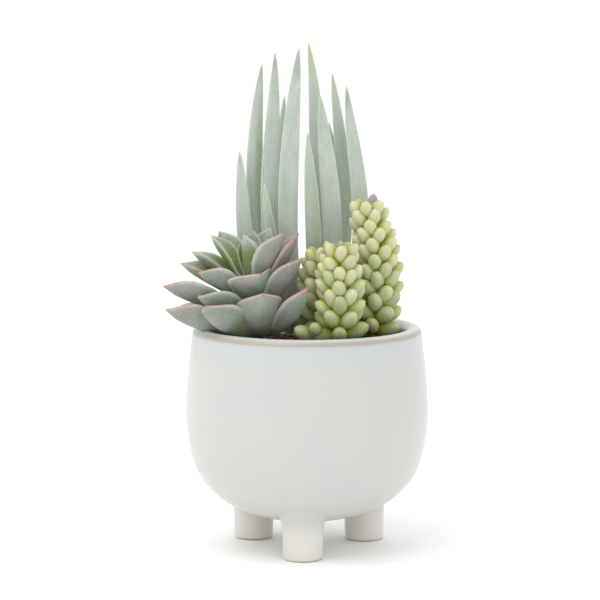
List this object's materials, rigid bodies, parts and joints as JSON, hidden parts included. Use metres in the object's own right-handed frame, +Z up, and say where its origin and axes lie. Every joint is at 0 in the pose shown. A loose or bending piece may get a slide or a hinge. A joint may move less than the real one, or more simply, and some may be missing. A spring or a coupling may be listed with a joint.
{
  "type": "potted succulent arrangement",
  "caption": "Round white glazed pot on short feet, planted with a pink-edged rosette succulent, burro's tail stems and a clump of upright sword-shaped leaves.",
  "frame": {"origin": "centre of the whole object's bounding box, on the surface that the feet stand on", "axes": "+Z up, -Y towards the viewer of the picture, +X to the viewer's right"},
  "size_m": [0.1194, 0.11, 0.2285],
  "materials": {
    "white_glaze": "satin-gloss off-white glaze with a thin beige lip",
    "potting_soil": "rough dark bark-and-peat soil with grit",
    "rosette_skin": "matte waxy blue-green with pink margins",
    "sword_skin": "matte pale grey-green with fine pale specks",
    "sedum_skin": "waxy yellow-green with a pale bloom"
  },
  "bodies": {
    "root": {"pot": "white_glaze", "soil": "potting_soil", "rosette": "rosette_skin", "sword_leaves": "sword_skin", "sedum_front": "sedum_skin", "sedum_tall": "sedum_skin"}
  },
  "joints": []
}
